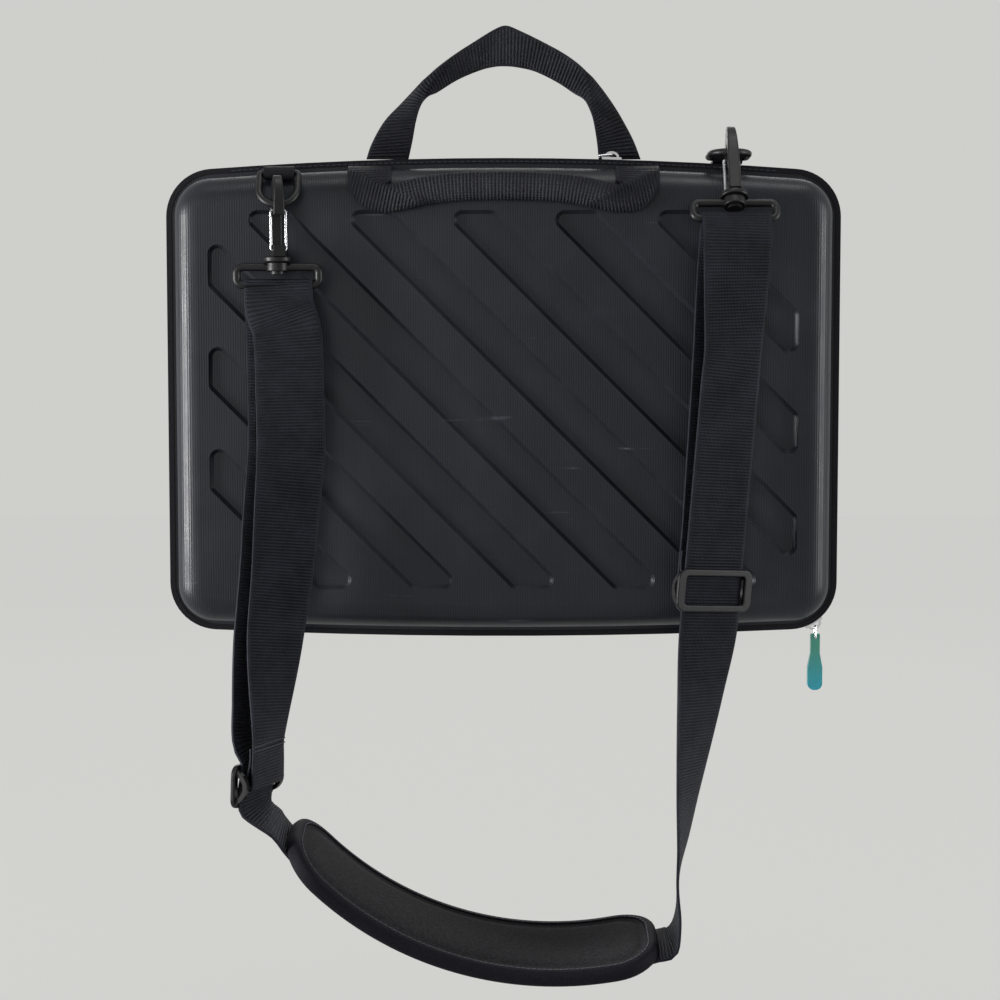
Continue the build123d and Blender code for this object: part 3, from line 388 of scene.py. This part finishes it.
# flat webbing along a route
def makeRibbon(name, stations, width, thickness, finish, body, replaced=(), step=3.0):
    route, length = makeRoute(stations)
    mesh = bmesh.new()
    weave = mesh.loops.layers.uv.new("weave")
    bmesh.ops.create_grid(mesh, x_segments=6, y_segments=max(int(length / step), 4), size=0.5)
    where = {}
    for vert in mesh.verts:
        across = vert.co.x * width
        share = vert.co.y + 0.5
        point, wide = route(share)
        where[vert] = (across, share * length)
        vert.co = (point + wide * across) * mm
    layWeave(mesh, weave, where)
    piece = finishPiece(name, mesh, finish, body, replaced, 50, clothEdges(thickness, min(0.45, thickness * 0.3)))
    return piece, length


# spots are (centre, run, outward normal) in mm; size is a stitch's length, width and height
def sewStitches(name, spots, size, body):
    mesh = bmesh.new()
    for centre, run, outward in spots:
        side = outward.cross(run).normalized()
        turn = Matrix((run.normalized(), side, run.normalized().cross(side))).transposed().to_4x4()
        stretch = Matrix.Diagonal(Vector(size)).to_4x4()
        bmesh.ops.create_cube(mesh, size=mm, matrix=Matrix.Translation(centre * mm) @ turn @ stretch)
    return finishPiece(name, mesh, finishes["bondedThread"], body, (), 30)


# shoulder strap: 38 mm webbing from bail to bail, doubled above each adjuster; all in mm and degrees
strap = {"width": 37.6, "thick": 1.45, "endThick": 1.4, "barRadius": 3.06, "rightBar": -15.5, "rightLean": 29.5,
         "backLayer": 6.67, "glideStraight": 13.5, "leftShift": -4.0, "rightShift": -3.0, "glideShift": -2.0,
         "rightGlideAt": 135.5, "loopBack": 4.21, "loopRadius": 2.46}
seamRow = {"back": 7.5, "rows": (22.0, 19.5), "from": -17.5, "pitch": 2.5, "count": 15, "stitch": (2.0, 0.6, 0.4)}
lean = math.radians(strap["rightLean"])
leftBar = Vector((-123.6, -37.644, -123.786))
rightUp = Vector((0, math.sin(lean), math.cos(lean)))
rightFront = Vector((0, -math.cos(lean), math.sin(lean)))
rightBar = Vector((126.4, -38.3626, -74.5036)) + rightUp * strap["rightBar"]


# a station whose width is turned about the upright
def turned(x, y, z, turn):
    angle = math.radians(turn)
    return (Vector((x, y, z)), Vector((math.cos(angle), math.sin(angle), 0)))


def overBar(bar, upward, front, angles):
    radius = strap["barRadius"]
    return [(bar + (front * math.cos(math.radians(a)) + upward * math.sin(math.radians(a))) * radius, right)
            for a in angles]


# the layer behind the given stations, shifted sideways so that its edge shows
def backLayer(stations, side):
    return [(point + width * side + up.cross(width) * strap["backLayer"], width) for point, width in stations]


# an adjuster's centre, width, upward and backward directions
def glideFrame(centre, width, down):
    down = down.normalized()
    wide = (width - down * down.dot(width)).normalized()
    return centre, wide, -down, (-down).cross(wide)


leftRoute = [turned(-118.5, -42.0, -150.0, 4.0), turned(-117.0, -44.5, -187.0, 9.0),
             turned(-116.5, -46.5, -215.0, 14.0), turned(-118.6, -49.0, -247.0, 24.0),
             turned(-121.0, -51.5, -281.0, 32.0), turned(-125.0, -54.0, -317.0, 42.0),
             turned(-127.6, -56.4, -350.0, 53.0), turned(-129.4, -57.8, -371.0, 62.0)]
rightRoute = [turned(108.8, -44.0, -352.0, 44.0), turned(102.6, -44.5, -405.0, 66.0),
              turned(99.9, -45.0, -431.0, 76.0), turned(97.0, -46.0, -453.0, 84.0),
              turned(97.3, -46.8, -474.0, 88.0)]
runTop = turned(125.4, -47.6, -156.0, 28.0)
runEnd = turned(112.6, -46.4, -316.0, 28.0)

# shoulder pad: a bent slab whose arc the webbing follows
pad = {"radius": 183.0, "tilt": 10.2, "centre": Vector((28.0, -77.3, -319.2)), "from": -53.5, "to": 18.5,
       "width": 64.0, "corner": 24.0, "skin": 0.86}
tilt = math.radians(pad["tilt"])
padDown = Vector((0, math.sin(tilt), -math.cos(tilt)))
padAcross = Vector((0, math.cos(tilt), math.sin(tilt)))


def padPoint(angle, radius, across=0.0):
    a = math.radians(angle)
    return pad["centre"] + right * (radius * math.sin(a)) + padDown * (radius * math.cos(a)) + padAcross * across


def padAlong(angle):
    return Vector((math.cos(math.radians(angle)), 0, 0)) - padDown * math.sin(math.radians(angle))


glideCentre, glideWidth = backLayer([turned(-128.4, -58.5, -395.0, 70)], strap["glideShift"])[0]
leftGlide = glideFrame(glideCentre, -glideWidth, Vector((-0.03, -0.02, -1.0)))
rightDown = runEnd[0] - runTop[0]
rightGlide = glideFrame(runTop[0] + rightDown.normalized() * strap["rightGlideAt"], runTop[1], rightDown)
leftPair = [(leftGlide[0] + leftGlide[2] * s * strap["glideStraight"], -leftGlide[1]) for s in (1, -1)]
padRun = [(padPoint(a, pad["radius"]), padAcross)
          for a in (-56.5, -53, -48, -40, -32, -24, -16, -8, 0, 8, 14, 18, 21)]
runMids = [(runTop[0].lerp(runEnd[0], t), runTop[1]) for t in (0.85, 0.5, 0.15)]
wrap = [0, 30, 60, 90, 120, 150, 180]
strapLine = overBar(leftBar, up, Vector((0, -1, 0)), wrap)
strapLine += [(leftBar + Vector((-0.2, 3.1, -11)), right)] + backLayer(leftRoute, strap["leftShift"]) + leftPair
strapLine += padRun + rightRoute[::-1] + [runEnd] + runMids + [runTop]
strapLine += [(rightBar + rightFront * 3.3 - rightUp * 14, Vector((1, 0.1, 0)))]
strapLine += overBar(rightBar, rightUp, rightFront, wrap)
mainStrap, strapLength = makeRibbon("strapWebbing", strapLine, strap["width"], strap["thick"],
                                    finishes["strapWebbing"], "strap",
                                    ("left_strap", "right_strap", "pad_webbing", "left_wrap", "right_wrap"))


# down behind the adjuster, round its middle bar and back up to the seam
def sewnEnd(glide):
    centre, wide, upward, back = glide
    spots = [(strap["backLayer"], height) for height in (34, 24, 8, 0)]
    for a in (-40, -90, -140):
        spots.append((strap["loopBack"] + strap["loopRadius"] * math.cos(math.radians(a)),
                      strap["loopRadius"] * math.sin(math.radians(a))))
    spots += [(1.75, 0), (2.0, 2.5), (5.0, 12), (5.05, 21)]
    return [(centre + back * y + upward * z, wide) for y, z in spots]


leftFront = [(leftBar + Vector((0, -strap["barRadius"], -0.3)), -right),
             (leftBar + Vector((0.8, -3.4, -12)), -right)]
leftFront += [(point, -width) for point, width in leftRoute[:-2]] + sewnEnd(leftGlide)[1:]
leftReturn, leftLength = makeRibbon("leftStrapReturn", leftFront, strap["width"], strap["endThick"],
                                    finishes["strapWebbing"], "strap", ("left_strap_return", "left_strap_end"))
rightBack = overBar(rightBar, rightUp, rightFront, [180])
rightBack = [(rightBack[0][0] - rightUp * 0.3, right)] + backLayer([runTop], strap["rightShift"])
rightBack += sewnEnd(rightGlide)
rightReturn, rightLength = makeRibbon("rightStrapReturn", rightBack, strap["width"], strap["endThick"],
                                      finishes["strapWebbing"], "", ("right_strap_return", "right_strap_end"))
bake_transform(rightReturn)
for side, glide, rider in (("left", leftGlide, "strap"), ("right", rightGlide, "right_glide")):
    centre, wide, upward, back = glide
    spots = [(centre + back * seamRow["back"] + upward * row + wide * (seamRow["from"] + seamRow["pitch"] * k),
              wide, back) for row in seamRow["rows"] for k in range(seamRow["count"])]
    sewStitches(side + "SeamStitches", spots, seamRow["stitch"], rider)
print("strap made", round(strapLength), round(leftLength), round(rightLength))


# flat slab (run, across, height towards the inside) with round corners in plan and softened edges
def padBlank(grow, low, high, soften):
    length = math.radians(pad["to"] - pad["from"]) * pad["radius"] + 2 * grow
    mesh = bmesh.new()
    bmesh.ops.create_cube(mesh, size=1.0)
    bmesh.ops.scale(mesh, vec=(length, pad["width"] + 2 * grow, high - low), verts=mesh.verts)
    bmesh.ops.translate(mesh, vec=(0, 0, (high + low) / 2), verts=mesh.verts)
    corners = [e for e in mesh.edges if abs((e.verts[0].co - e.verts[1].co).z) > 0.1]
    bmesh.ops.bevel(mesh, geom=corners, offset=pad["corner"] + grow, segments=10, profile=0.5, affect="EDGES",
                    material=-1)
    mesh.normal_update()
    rims = [e for e in mesh.edges if sorted(abs(round(f.normal.z, 2)) for f in e.link_faces) == [0.0, 1.0]]
    bmesh.ops.bevel(mesh, geom=rims, offset=soften, segments=4, profile=0.5, affect="EDGES", material=-1)
    mesh.normal_update()
    return mesh, length


# cuts a flat slab across every 4 mm, then bends it onto the pad's arc
def bendPad(mesh, length):
    count = int(length / 4.0)
    for i in range(1, count):
        bmesh.ops.bisect_plane(mesh, geom=mesh.verts[:] + mesh.edges[:] + mesh.faces[:],
                               plane_co=(-length / 2 + i * length / count, 0, 0), plane_no=(1, 0, 0), dist=0.01)
    for vert in mesh.verts:
        angle = (pad["from"] + pad["to"]) / 2 + math.degrees(vert.co.x / pad["radius"])
        vert.co = padPoint(angle, pad["radius"] - pad["skin"] - vert.co.z, vert.co.y) * mm


def biggestCap(mesh, way):
    mesh.faces.ensure_lookup_table()
    return max((f for f in mesh.faces if f.normal.z * way > 0.9), key=lambda f: f.calc_area())


# felt side: a sewn channel inside the binding, then a crown
mesh, padLength = padBlank(-1.0, 0.4, 7.2, 1.2)
for inset, rise in ((1.6, 0.2), (2.4, 0.1), (1.2, -0.3), (2.2, 0.8), (4.5, 0.5), (8.0, 0.3)):
    bmesh.ops.inset_region(mesh, faces=[biggestCap(mesh, 1)], thickness=inset, depth=rise, use_even_offset=True)
    mesh.normal_update()
bendPad(mesh, padLength)
padBody = finishPiece("padBody", mesh, finishes["gripFelt"], "shoulder_pad", ("pad_core", "pad_felt", "pad_base"), 60)

# binding: the slab's rim alone, open over the felt and over the back
mesh, bandLength = padBlank(0.3, -0.05, 7.5, 2.4)
for way in (1, -1):
    bmesh.ops.inset_region(mesh, faces=[biggestCap(mesh, way)], thickness=2.2, depth=0.0, use_even_offset=True)
    bmesh.ops.delete(mesh, geom=[biggestCap(mesh, way)], context="FACES")
    mesh.normal_update()
bendPad(mesh, bandLength)
padBand = finishPiece("padBand", mesh, finishes["padBindingTape"], "shoulder_pad", ("pad_binding",), 60,
                      clothEdges(0.7, 0.2, 1.0))

# keepers: 25 mm webbing over the strap, sewn down on both sides; (across, lift) of each station
keeper = {"fromEnd": 10.0, "width": 25.0, "thick": 1.1,
          "stations": ((25, -0.2), (22.5, 0.0), (20.6, 0.9), (19, 1.8), (0, 1.95), (-19, 1.8), (-20.6, 0.9),
                       (-22.5, 0.0), (-25, -0.2))}
for side, angle in (("left", pad["from"] + keeper["fromEnd"]), ("right", pad["to"] - keeper["fromEnd"])):
    stations = [(padPoint(angle, pad["radius"] + lift, across), padAlong(angle))
                for across, lift in keeper["stations"]]
    makeRibbon(side + "Keeper", stations, keeper["width"], keeper["thick"], finishes["handleWebbing"], "shoulder_pad",
               (side + "_keeper",), 1.5)

# stitch line through the binding, all round the felt side
rim = {"inset": 3.5, "pitch": 3.1, "height": 8.3, "stitch": (2.1, 0.6, 0.5)}
halfRun = math.radians(pad["to"] - pad["from"]) * pad["radius"] / 2 - rim["inset"]
halfWide = pad["width"] / 2 - rim["inset"]
bend = pad["corner"] - rim["inset"]
rimPath = []
for cornerX, cornerY, startAngle in ((1, -1, -90), (1, 1, 0), (-1, 1, 90), (-1, -1, 180)):
    for k in range(13):
        a = math.radians(startAngle + 7.5 * k)
        rimPath.append(Vector((cornerX * (halfRun - bend) + bend * math.cos(a),
                               cornerY * (halfWide - bend) + bend * math.sin(a), 0)))
rimPath.append(rimPath[0])
spots = []
ahead = 0.0
for a, b in zip(rimPath, rimPath[1:]):
    length = (b - a).length
    while ahead < length:
        flat = a.lerp(b, ahead / length)
        run = (b - a) / length
        angle = (pad["from"] + pad["to"]) / 2 + math.degrees(flat.x / pad["radius"])
        inward = (pad["centre"] - padPoint(angle, pad["radius"])).normalized()
        spots.append((padPoint(angle, pad["radius"] - pad["skin"] - rim["height"], flat.y),
                      padAlong(angle) * run.x + padAcross * run.y, inward))
        ahead += rim["pitch"]
    ahead -= length
sewStitches("padStitches", spots, rim["stitch"], "shoulder_pad")
print("pad made")

# rear handle: 25 mm webbing that stands up from its feet and is drawn together where it hangs
rearHandle = {"width": 24.0, "thick": 1.9, "rounding": 0.4, "bow": 5.0, "footLean": 6.9, "footZ": -50.85}
leanLength = math.hypot(rearHandle["footLean"], rearHandle["footZ"])


# point of the handle's leaning plane: z from the peg down, out towards the front
def onHandlePlane(x, z, out):
    share = z / leanLength
    return Vector((x, -share * rearHandle["footLean"] - out, -share * rearHandle["footZ"]))


# outer and inner edge points of the arch (x, z, out), left foot to right foot
archPairs = [
    ((-78.0, -51.5, 0.0), (-54.0, -51.5, 0.0)), ((-75.0, -43.0, -0.5), (-51.6, -41.0, 0.5)),
    ((-68.0, -31.0, -1.6), (-49.4, -30.0, 1.6)), ((-57.5, -20.0, -4.4), (-46.4, -21.5, 4.2)),
    ((-48.6, -11.0, -3.0), (-42.6, -17.0, 4.0)), ((-42.5, -5.6, 4.6), (-38.4, -13.6, -3.6)),
    ((-29.0, 5.0, 4.6), (-26.0, -6.2, -3.8)), ((-15.0, 14.2, 3.0), (-13.0, -1.2, -3.0)),
    ((-4.0, 21.0, 1.0), (-4.0, 0.3, -1.0)), ((1.5, 22.6, 0.6), (1.5, 0.4, -0.8)),
    ((8.0, 20.2, 1.0), (7.0, 0.0, -1.0)), ((22.0, 13.2, 3.2), (18.0, -2.0, -3.0)),
    ((36.0, 5.2, 4.6), (31.0, -8.0, -3.8)), ((46.5, -3.0, 4.4), (40.8, -14.4, -3.4)),
    ((52.0, -8.0, -2.6), (45.6, -18.8, 3.4)), ((60.0, -18.0, -4.0), (49.8, -27.0, 3.8)),
    ((66.5, -28.0, -1.4), (51.8, -35.0, 1.4)), ((73.5, -40.5, -0.4), (53.2, -43.5, 0.4)),
    ((78.0, -51.5, 0.0), (54.0, -51.5, 0.0)),
]
outerEdge = [onHandlePlane(*outer) for outer, inner in archPairs]
innerEdge = [onHandlePlane(*inner) for outer, inner in archPairs]
marks = measure([(outer + inner) / 2 for outer, inner in zip(outerEdge, innerEdge)])
archLength = marks[-1]
mesh = bmesh.new()
weave = mesh.loops.layers.uv.new("weave")
bmesh.ops.create_grid(mesh, x_segments=8, y_segments=90, size=0.5)
where = {}
for vert in mesh.verts:
    side = vert.co.x + 0.5
    here = (vert.co.y + 0.5) * archLength
    outer = smoothAt(outerEdge, marks, here)
    inner = smoothAt(innerEdge, marks, here)
    pinch = 1 - min((outer - inner).length / rearHandle["width"], 1)
    bow = rearHandle["bow"] * pinch * math.sin(side * math.pi)
    where[vert] = ((side - 0.5) * rearHandle["width"], here)
    vert.co = (outer.lerp(inner, side) - Vector((0, bow, 0))) * mm
layWeave(mesh, weave, where)
arch = finishPiece("rearHandleArch", mesh, finishes["handleWebbing"], "rear_handle", ("rear_handle",), 50,
                   clothEdges(rearHandle["thick"], rearHandle["rounding"]))

# front handle: flat ends over the rounding, folded lengthwise into a grip between them;
# its left half as (point, width direction, how far it is rolled)
grip = {"flat": 24.0, "high": 7.2, "deep": 3.4, "closed": 0.96, "thick": 1.3, "rounding": 0.3}
half = [
    (Vector((-74.6, -8.5, -57.2)), right, 0.0), (Vector((-74.6, -13.4, -57.2)), right, 0.0),
    (Vector((-74.4, -20.2, -59.2)), right, 0.0), (Vector((-74.2, -26.6, -64.3)), Vector((1, 0, 0.02)), 0.0),
    (Vector((-73.4, -29.8, -69.6)), Vector((1, 0, 0.15)), 0.05),
    (Vector((-70.2, -30.8, -74.4)), Vector((0.85, 0, 0.5)), 0.25),
    (Vector((-63.5, -31.2, -76.0)), Vector((0.35, 0, 0.94)), 0.6),
    (Vector((-54.0, -31.4, -74.2)), Vector((-0.15, 0, 1)), 0.95),
    (Vector((-42.0, -31.4, -71.6)), Vector((-0.17, 0, 1)), 1.0),
    (Vector((-28.0, -31.4, -69.8)), Vector((-0.08, 0, 1)), 1.0), (Vector((0.0, -31.4, -69.0)), up, 1.0),
]
whole = half + [(Vector((-p.x, p.y, p.z)), Vector((-w.x, w.y, w.z)), roll)
                for p, w, roll in half[-2::-1]]
route, gripLength = makeRoute([(p, w) for p, w, roll in whole])
marks = measure([p for p, w, roll in whole])
rolls = [roll for p, w, roll in whole]
mesh = bmesh.new()
weave = mesh.loops.layers.uv.new("weave")
bmesh.ops.create_grid(mesh, x_segments=16, y_segments=110, size=0.5)
where = {}
for vert in mesh.verts:
    across = vert.co.x * grip["flat"]
    share = vert.co.y + 0.5
    point, wide = route(share)
    roll = min(max(smoothAt(rolls, marks, share * gripLength), 0), 1)
    angle = vert.co.x * 2 * math.pi * grip["closed"]
    rolled = wide * (grip["high"] * math.sin(angle)) + Vector((0, -grip["deep"] * math.cos(angle), 0))
    where[vert] = (across, share * gripLength)
    vert.co = (point + wide * (across * (1 - roll)) + rolled * roll) * mm
layWeave(mesh, weave, where)
# each end folds along a slanting crease: ribs run level above it and upright below it
fold = {"x": 70.2, "z": -67.2, "slant": 0.436, "drop": -0.9, "rise": 1.5, "reach": 2.6, "front": -0.022,
        "ribSlant": 0.25}
for side in (-1, 1):
    spot = Vector((side * fold["x"], 0, fold["z"]))
    across = Vector((side * fold["slant"], 0, fold["drop"]))
    bmesh.ops.bisect_plane(mesh, geom=mesh.verts[:] + mesh.edges[:] + mesh.faces[:], plane_co=spot * mm,
                           plane_no=across, dist=1e-6)
    for vert in mesh.verts:
        gap = (vert.co / mm - spot).dot(across)
        if vert.co.x * side > 0 and vert.co.y < fold["front"]:
            vert.co.y -= fold["rise"] * mm * math.exp(-(gap / fold["reach"]) ** 2)
    for face in mesh.faces:
        middle = face.calc_center_median()
        if middle.x * side > 0 and (middle / mm - spot).dot(across) > 0:
            for loop in face.loops:
                loop[weave].uv.y = (loop.vert.co.x + fold["ribSlant"] * side * loop.vert.co.z) / mm
gripPiece = finishPiece("frontHandleGrip", mesh, finishes["handleWebbing"], "front_handle", ("front_handle",), 60,
                        clothEdges(grip["thick"], grip["rounding"]))
print("handles made", round(archLength), round(gripLength))

# stitch line along the front binding, which bows slightly upwards
seam = {"inset": 1.9, "pitch": 3.3, "arc": 2250.0, "top": -51.5, "front": -6.42, "each": 46, "stitch": (2.3, 0.5, 0.35)}
spots = []
for k in range(-seam["each"], seam["each"] + 1):
    x = k * seam["pitch"]
    z = seam["top"] - seam["arc"] + math.sqrt((seam["arc"] - seam["inset"]) ** 2 - x * x)
    spots.append((Vector((x, seam["front"], z)), Vector((1, 0, -x / seam["arc"])), Vector((0, -1, 0))))
sewStitches("bindingStitches", spots, seam["stitch"], "front_half")
print("seams made")

# pale matt floor and backdrop, seen as evenly lit, with the object's shadow faint on the floor
backdrop = {"color": "#cfcfcc", "floorEven": 0.93, "floorStrength": 1.05, "floorSize": 4.0, "floorDrop": 0.06,
            "glow": "#e4e8f2", "glowStrength": 0.12}


# 1 for the rays that see the backdrop as it is: the camera's, mirrored and passed ones
def backdropRays(tree):
    ray = addNode(tree, "ShaderNodeLightPath")
    first = addNode(tree, "ShaderNodeMath", {"operation": "ADD", "use_clamp": True},
                    {0: ray.outputs["Is Camera Ray"], 1: ray.outputs["Is Glossy Ray"]})
    both = addNode(tree, "ShaderNodeMath", {"operation": "ADD", "use_clamp": True},
                   {0: first.outputs[0], 1: ray.outputs["Is Transmission Ray"]})
    return both.outputs[0]


paint, tree, shader = newMaterial("paleFloorPaint", backdrop["color"], 0.9)
share = addNode(tree, "ShaderNodeMath", {"operation": "MULTIPLY", 1: backdrop["floorEven"]}, {0: backdropRays(tree)})
even = addNode(tree, "ShaderNodeEmission",
               {"Color": linear(backdrop["color"]), "Strength": backdrop["floorStrength"]})
mix = addNode(tree, "ShaderNodeMixShader", {}, {0: share.outputs[0], 1: shader.outputs[0], 2: even.outputs[0]})
tree.links.new(mix.outputs[0], tree.nodes["Material Output"].inputs["Surface"])
mesh = bmesh.new()
bmesh.ops.create_grid(mesh, x_segments=1, y_segments=1, size=backdrop["floorSize"])
bmesh.ops.translate(mesh, vec=(0, 0, cadBox[0][2] - backdrop["floorDrop"]), verts=mesh.verts)
finishPiece("floor", mesh, paint)
world = bpy.data.worlds.new("softStudio")
bpy.context.scene.world = world
world.use_nodes = True
tree = world.node_tree
tree.nodes.clear()
glow = addNode(tree, "ShaderNodeBackground", {"Color": linear(backdrop["glow"]), "Strength": backdrop["glowStrength"]})
wall = addNode(tree, "ShaderNodeBackground", {"Color": linear(backdrop["color"]), "Strength": 1.0})
both = addNode(tree, "ShaderNodeMixShader", {}, {0: backdropRays(tree), 1: glow.outputs[0], 2: wall.outputs[0]})
addNode(tree, "ShaderNodeOutputWorld", {}, {"Surface": both.outputs[0]})

# soft panels: (place, target, size, power in watts); most light comes from the lower left
lamps = {
    "ceilingPanel": ((0.2, -0.4, 1.3), (0, 0, -0.25), (1.2, 0.5), 7),
    "frontPanel": ((-0.9, -1.9, 0.1), (0, 0, -0.25), (0.9, 0.9), 4),
    "leftWindow": ((-1.45, -0.45, -0.6), (0, 0, -0.2), (0.4, 1.5), 84),
    "rightWindow": ((1.5, -0.4, -0.15), (0, 0, -0.2), (0.3, 1.2), 16),
    "rearFill": ((0, 1.6, 0.6), (0, 0, -0.2), (1.5, 1.0), 10),
}
for name, (place, target, size, power) in lamps.items():
    lamp = bpy.data.lights.new(name, "AREA")
    lamp.shape = "RECTANGLE"
    lamp.size, lamp.size_y = size
    lamp.energy = power
    lampPiece = bpy.data.objects.new(name, lamp)
    bpy.context.scene.collection.objects.link(lampPiece)
    lampPiece.location = place
    lampPiece.rotation_euler = (Vector(target) - Vector(place)).to_track_quat("-Z", "Y").to_euler()

viewer = {"lens": 72.4, "sensor": 36, "place": (-0.002, -1.1472, -0.1644), "pitch": 86}
camera = bpy.data.cameras.new("viewer")
camera.lens = viewer["lens"]
camera.sensor_width = viewer["sensor"]
cameraPiece = bpy.data.objects.new("viewer", camera)
bpy.context.scene.collection.objects.link(cameraPiece)
cameraPiece.location = viewer["place"]
cameraPiece.rotation_euler = (math.radians(viewer["pitch"]), 0, 0)
bpy.context.scene.camera = cameraPiece
bpy.context.scene.view_settings.view_transform = "Standard"
print("stage made")
